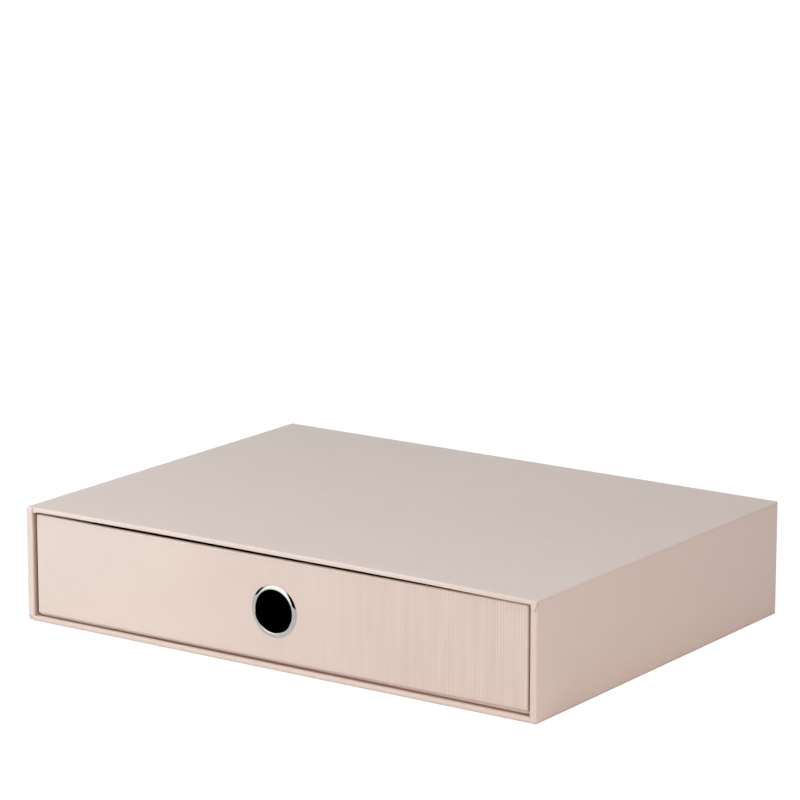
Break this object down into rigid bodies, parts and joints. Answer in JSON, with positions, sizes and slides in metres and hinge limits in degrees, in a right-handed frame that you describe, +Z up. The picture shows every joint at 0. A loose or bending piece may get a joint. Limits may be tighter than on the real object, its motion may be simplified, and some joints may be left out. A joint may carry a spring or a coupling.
{
  "type": "file box with drawer",
  "caption": "Flat paper-covered board box, open at the front, with a shallow drawer that slides out by a metal-ringed finger hole; holds A4 papers.",
  "frame": {"origin": "under the middle of the casing, on the surface that it stands on", "axes": "+X across the mouth to the right seen from the front, +Y from the mouth to the back, +Z up"},
  "size_m": [0.335, 0.247, 0.0659],
  "materials": {
    "cover_paper": "matt blush-pink cover paper with fine embossed ribs",
    "lining_paper": "plain matt charcoal lining paper",
    "greyboard": "raw greyboard, hidden under the paper",
    "gummed_tape": "brown gummed paper, hidden under the cover paper",
    "ring_metal": "bright polished nickel plate"
  },
  "bodies": {
    "casing": {"casing_left_board": "greyboard", "casing_right_board": "greyboard", "casing_top_board": "greyboard", "casing_bottom_board": "greyboard", "casing_back_board": "greyboard", "casing_outer_wrap": "cover_paper", "casing_base_sheet": "cover_paper", "casing_back_sheet": "cover_paper", "casing_lining": "lining_paper"},
    "drawer": {"drawer_left_board": "greyboard", "drawer_right_board": "greyboard", "drawer_front_board": "greyboard", "drawer_back_board": "greyboard", "drawer_bottom_board": "greyboard", "drawer_corner_stays": "gummed_tape", "drawer_outer_wrap": "cover_paper", "drawer_base_sheet": "cover_paper", "drawer_floor_lining": "lining_paper", "drawer_wall_lining": "lining_paper", "drawer_face_board": "greyboard", "drawer_face_cover": "cover_paper", "finger_ring": "ring_metal", "finger_ring_washer": "ring_metal"}
  },
  "joints": [
    {"name": "drawer_slide", "type": "slide", "parent": "casing", "child": "drawer", "axis": [0, -1, 0], "range_m": [0, 0.245]}
  ]
}
